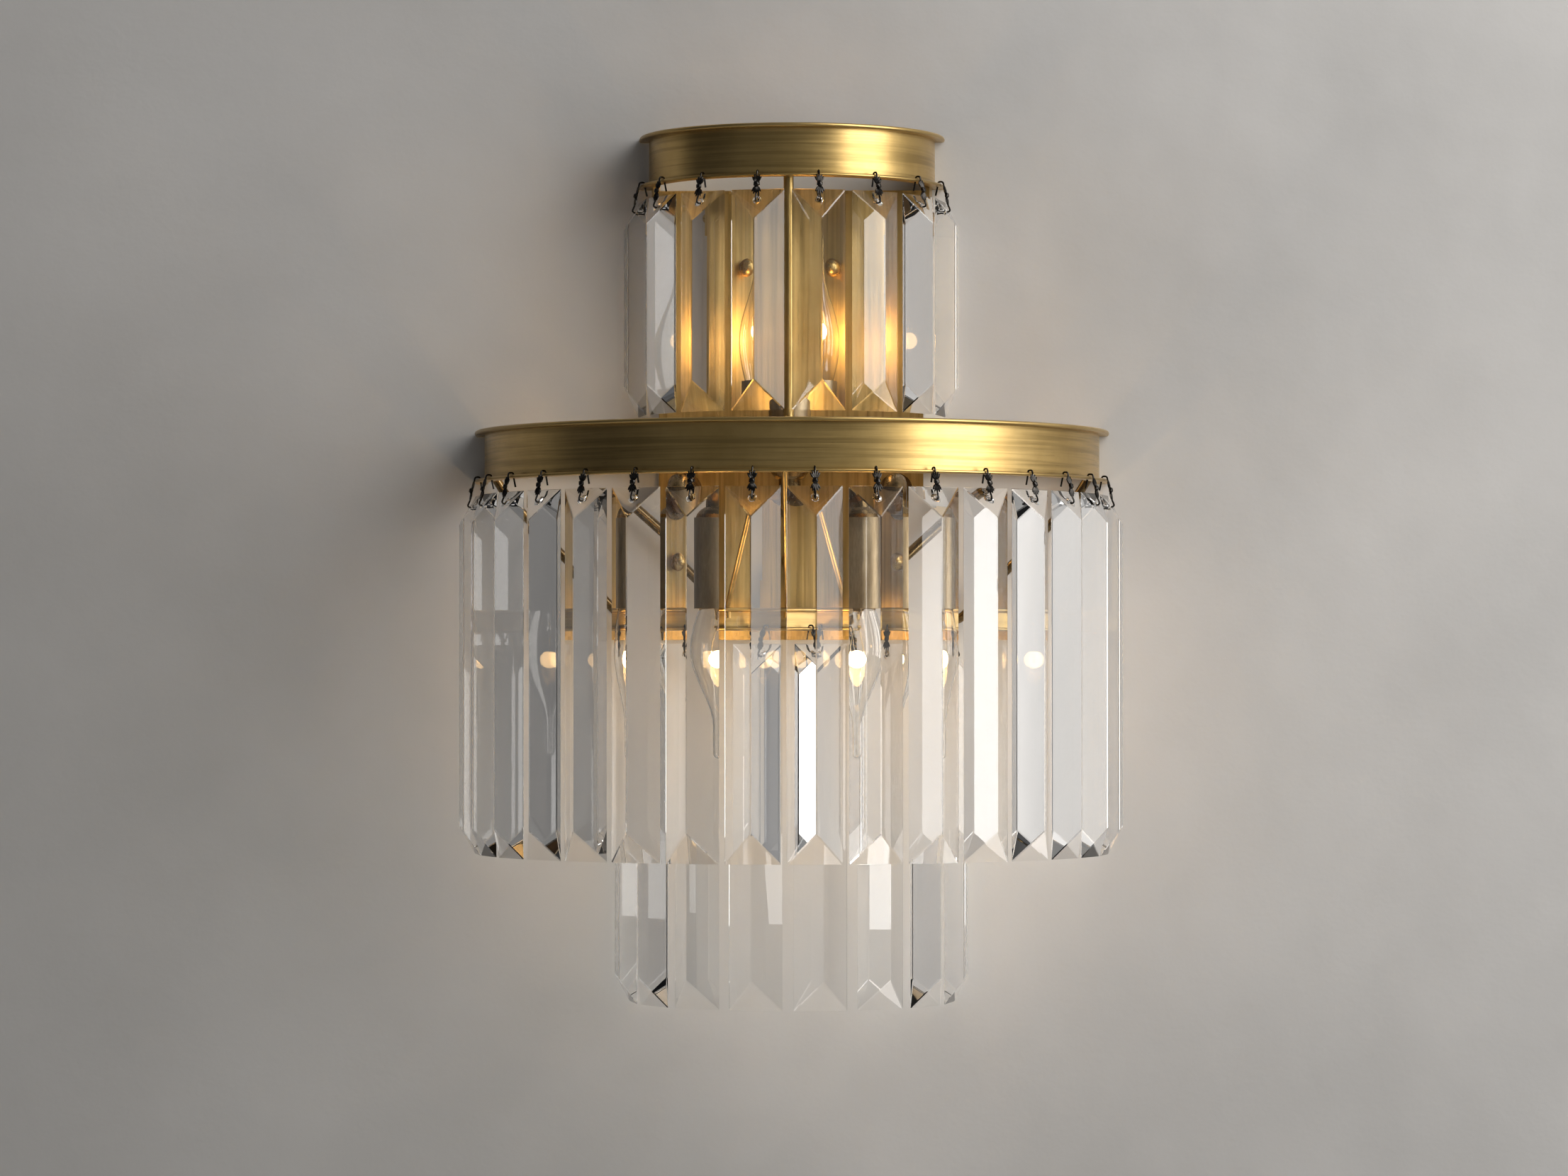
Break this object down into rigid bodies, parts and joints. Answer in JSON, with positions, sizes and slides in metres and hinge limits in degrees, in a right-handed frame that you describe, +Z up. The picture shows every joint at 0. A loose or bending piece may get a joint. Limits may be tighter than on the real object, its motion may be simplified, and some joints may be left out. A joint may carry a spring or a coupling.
{
  "type": "crystal wall sconce",
  "caption": "Tiered wall light with half-round brass rings hung with clear glass prisms on bow-tie clips around candle lamps.",
  "frame": {"origin": "centre of the backplate on the wall plane, midway between the two slots of the mounting strap", "axes": "+Z up, +X to the viewer's right, -Y out of the wall to the front"},
  "size_m": [0.3648, 0.1847, 0.4794],
  "materials": {
    "aged_brass": "brushed, aged",
    "dark_brass": "dark patina",
    "mottled_brass": "mottled patina",
    "zinc_steel": "zinc plated",
    "gunmetal": "gloss black nickel",
    "black_plastic": "moulded phenolic",
    "lamp_cap": "bright",
    "bulb_glass": "clear",
    "crystal": "polished, clear"
  },
  "bodies": {
    "frame": {"backplate": "aged_brass", "mounting_strap": "zinc_steel", "mounting_studs": "zinc_steel", "ball_cap_nuts": "aged_brass", "top_ring": "aged_brass", "middle_ring": "aged_brass", "lower_ring": "aged_brass", "ring_brackets": "aged_brass", "bracket_screws": "aged_brass", "cross_bar": "aged_brass", "top_post": "aged_brass", "front_stay": "aged_brass", "curved_stays": "aged_brass", "upper_lamp_arm": "dark_brass", "lower_lamp_arms": "dark_brass", "arm_lock_rings": "aged_brass", "lamp_cups": "dark_brass", "candle_sleeves": "mottled_brass", "lamp_sockets": "black_plastic", "top_clips": "gunmetal", "middle_clips": "gunmetal", "lower_clips": "gunmetal"},
    "top_prism_01": {"top_prism_01": "crystal"},
    "top_prism_02": {"top_prism_02": "crystal"},
    "top_prism_03": {"top_prism_03": "crystal"},
    "top_prism_04": {"top_prism_04": "crystal"},
    "top_prism_05": {"top_prism_05": "crystal"},
    "top_prism_06": {"top_prism_06": "crystal"},
    "top_prism_07": {"top_prism_07": "crystal"},
    "top_prism_08": {"top_prism_08": "crystal"},
    "middle_prism_01": {"middle_prism_01": "crystal"},
    "middle_prism_02": {"middle_prism_02": "crystal"},
    "middle_prism_03": {"middle_prism_03": "crystal"},
    "middle_prism_04": {"middle_prism_04": "crystal"},
    "middle_prism_05": {"middle_prism_05": "crystal"},
    "middle_prism_06": {"middle_prism_06": "crystal"},
    "middle_prism_07": {"middle_prism_07": "crystal"},
    "middle_prism_08": {"middle_prism_08": "crystal"},
    "middle_prism_09": {"middle_prism_09": "crystal"},
    "middle_prism_10": {"middle_prism_10": "crystal"},
    "middle_prism_11": {"middle_prism_11": "crystal"},
    "middle_prism_12": {"middle_prism_12": "crystal"},
    "middle_prism_13": {"middle_prism_13": "crystal"},
    "middle_prism_14": {"middle_prism_14": "crystal"},
    "middle_prism_15": {"middle_prism_15": "crystal"},
    "middle_prism_16": {"middle_prism_16": "crystal"},
    "lower_prism_01": {"lower_prism_01": "crystal"},
    "lower_prism_02": {"lower_prism_02": "crystal"},
    "lower_prism_03": {"lower_prism_03": "crystal"},
    "lower_prism_04": {"lower_prism_04": "crystal"},
    "lower_prism_05": {"lower_prism_05": "crystal"},
    "lower_prism_06": {"lower_prism_06": "crystal"},
    "lower_prism_07": {"lower_prism_07": "crystal"},
    "lower_prism_08": {"lower_prism_08": "crystal"},
    "bulb_1": {"bulb_cap_1": "lamp_cap", "bulb_glass_1": "bulb_glass"},
    "bulb_2": {"bulb_cap_2": "lamp_cap", "bulb_glass_2": "bulb_glass"},
    "bulb_3": {"bulb_cap_3": "lamp_cap", "bulb_glass_3": "bulb_glass"}
  },
  "joints": [
    {"name": "top_swing_01", "type": "hinge", "parent": "frame", "child": "top_prism_01", "pos_m": [-0.08363, -0.01664, 0.1125], "axis": [-0.1951, 0.9808, 0], "range_deg": [-1.5, 12]},
    {"name": "top_swing_02", "type": "hinge", "parent": "frame", "child": "top_prism_02", "pos_m": [-0.0709, -0.04737, 0.1125], "axis": [-0.5556, 0.8315, 0], "range_deg": [-1.5, 12]},
    {"name": "top_swing_03", "type": "hinge", "parent": "frame", "child": "top_prism_03", "pos_m": [-0.04737, -0.0709, 0.1125], "axis": [-0.8315, 0.5556, 0], "range_deg": [-1.5, 12]},
    {"name": "top_swing_04", "type": "hinge", "parent": "frame", "child": "top_prism_04", "pos_m": [-0.01664, -0.08363, 0.1125], "axis": [-0.9808, 0.1951, 0], "range_deg": [-1.5, 12]},
    {"name": "top_swing_05", "type": "hinge", "parent": "frame", "child": "top_prism_05", "pos_m": [0.01664, -0.08363, 0.1125], "axis": [-0.9808, -0.1951, 0], "range_deg": [-1.5, 12]},
    {"name": "top_swing_06", "type": "hinge", "parent": "frame", "child": "top_prism_06", "pos_m": [0.04737, -0.0709, 0.1125], "axis": [-0.8315, -0.5556, 0], "range_deg": [-1.5, 12]},
    {"name": "top_swing_07", "type": "hinge", "parent": "frame", "child": "top_prism_07", "pos_m": [0.0709, -0.04737, 0.1125], "axis": [-0.5556, -0.8315, 0], "range_deg": [-1.5, 12]},
    {"name": "top_swing_08", "type": "hinge", "parent": "frame", "child": "top_prism_08", "pos_m": [0.08363, -0.01664, 0.1125], "axis": [-0.1951, -0.9808, 0], "range_deg": [-1.5, 12]},
    {"name": "middle_swing_01", "type": "hinge", "parent": "frame", "child": "middle_prism_01", "pos_m": [-0.17342, -0.03214, -0.0511], "axis": [-0.1822, 0.9833, 0], "range_deg": [-1.5, 12]},
    {"name": "middle_swing_02", "type": "hinge", "parent": "frame", "child": "middle_prism_02", "pos_m": [-0.16454, -0.06349, -0.0511], "axis": [-0.36, 0.933, 0], "range_deg": [-1.5, 12]},
    {"name": "middle_swing_03", "type": "hinge", "parent": "frame", "child": "middle_prism_03", "pos_m": [-0.15006, -0.09268, -0.0511], "axis": [-0.5255, 0.8508, 0], "range_deg": [-1.5, 12]},
    {"name": "middle_swing_04", "type": "hinge", "parent": "frame", "child": "middle_prism_04", "pos_m": [-0.13045, -0.1187, -0.0511], "axis": [-0.673, 0.7396, 0], "range_deg": [-1.5, 12]},
    {"name": "middle_swing_05", "type": "hinge", "parent": "frame", "child": "middle_prism_05", "pos_m": [-0.10639, -0.14067, -0.0511], "axis": [-0.7976, 0.6032, 0], "range_deg": [-1.5, 12]},
    {"name": "middle_swing_06", "type": "hinge", "parent": "frame", "child": "middle_prism_06", "pos_m": [-0.0787, -0.15784, -0.0511], "axis": [-0.8949, 0.4462, 0], "range_deg": [-1.5, 12]},
    {"name": "middle_swing_07", "type": "hinge", "parent": "frame", "child": "middle_prism_07", "pos_m": [-0.04832, -0.16962, -0.0511], "axis": [-0.9617, 0.274, 0], "range_deg": [-1.5, 12]},
    {"name": "middle_swing_08", "type": "hinge", "parent": "frame", "child": "middle_prism_08", "pos_m": [-0.01629, -0.17562, -0.0511], "axis": [-0.9957, 0.0924, 0], "range_deg": [-1.5, 12]},
    {"name": "middle_swing_09", "type": "hinge", "parent": "frame", "child": "middle_prism_09", "pos_m": [0.01629, -0.17562, -0.0511], "axis": [-0.9957, -0.0924, 0], "range_deg": [-1.5, 12]},
    {"name": "middle_swing_10", "type": "hinge", "parent": "frame", "child": "middle_prism_10", "pos_m": [0.04832, -0.16962, -0.0511], "axis": [-0.9617, -0.274, 0], "range_deg": [-1.5, 12]},
    {"name": "middle_swing_11", "type": "hinge", "parent": "frame", "child": "middle_prism_11", "pos_m": [0.0787, -0.15784, -0.0511], "axis": [-0.8949, -0.4462, 0], "range_deg": [-1.5, 12]},
    {"name": "middle_swing_12", "type": "hinge", "parent": "frame", "child": "middle_prism_12", "pos_m": [0.10639, -0.14067, -0.0511], "axis": [-0.7976, -0.6032, 0], "range_deg": [-1.5, 12]},
    {"name": "middle_swing_13", "type": "hinge", "parent": "frame", "child": "middle_prism_13", "pos_m": [0.13045, -0.1187, -0.0511], "axis": [-0.673, -0.7396, 0], "range_deg": [-1.5, 12]},
    {"name": "middle_swing_14", "type": "hinge", "parent": "frame", "child": "middle_prism_14", "pos_m": [0.15006, -0.09268, -0.0511], "axis": [-0.5255, -0.8508, 0], "range_deg": [-1.5, 12]},
    {"name": "middle_swing_15", "type": "hinge", "parent": "frame", "child": "middle_prism_15", "pos_m": [0.16454, -0.06349, -0.0511], "axis": [-0.36, -0.933, 0], "range_deg": [-1.5, 12]},
    {"name": "middle_swing_16", "type": "hinge", "parent": "frame", "child": "middle_prism_16", "pos_m": [0.17342, -0.03214, -0.0511], "axis": [-0.1822, -0.9833, 0], "range_deg": [-1.5, 12]},
    {"name": "lower_swing_01", "type": "hinge", "parent": "frame", "child": "lower_prism_01", "pos_m": [-0.08863, -0.01763, -0.1331], "axis": [-0.1951, 0.9808, 0], "range_deg": [-1.5, 12]},
    {"name": "lower_swing_02", "type": "hinge", "parent": "frame", "child": "lower_prism_02", "pos_m": [-0.07514, -0.05021, -0.1331], "axis": [-0.5556, 0.8315, 0], "range_deg": [-1.5, 12]},
    {"name": "lower_swing_03", "type": "hinge", "parent": "frame", "child": "lower_prism_03", "pos_m": [-0.05021, -0.07514, -0.1331], "axis": [-0.8315, 0.5556, 0], "range_deg": [-1.5, 12]},
    {"name": "lower_swing_04", "type": "hinge", "parent": "frame", "child": "lower_prism_04", "pos_m": [-0.01763, -0.08863, -0.1331], "axis": [-0.9808, 0.1951, 0], "range_deg": [-1.5, 12]},
    {"name": "lower_swing_05", "type": "hinge", "parent": "frame", "child": "lower_prism_05", "pos_m": [0.01763, -0.08863, -0.1331], "axis": [-0.9808, -0.1951, 0], "range_deg": [-1.5, 12]},
    {"name": "lower_swing_06", "type": "hinge", "parent": "frame", "child": "lower_prism_06", "pos_m": [0.05021, -0.07514, -0.1331], "axis": [-0.8315, -0.5556, 0], "range_deg": [-1.5, 12]},
    {"name": "lower_swing_07", "type": "hinge", "parent": "frame", "child": "lower_prism_07", "pos_m": [0.07514, -0.05021, -0.1331], "axis": [-0.5556, -0.8315, 0], "range_deg": [-1.5, 12]},
    {"name": "lower_swing_08", "type": "hinge", "parent": "frame", "child": "lower_prism_08", "pos_m": [0.08863, -0.01763, -0.1331], "axis": [-0.1951, -0.9808, 0], "range_deg": [-1.5, 12]},
    {"name": "bulb_1_draw", "type": "slide", "parent": "frame", "child": "bulb_1", "axis": [0, 0, 1], "range_m": [0, 0.03]},
    {"name": "bulb_2_draw", "type": "slide", "parent": "frame", "child": "bulb_2", "axis": [0, 0, -1], "range_m": [0, 0.03]},
    {"name": "bulb_3_draw", "type": "slide", "parent": "frame", "child": "bulb_3", "axis": [0, 0, -1], "range_m": [0, 0.03]}
  ]
}
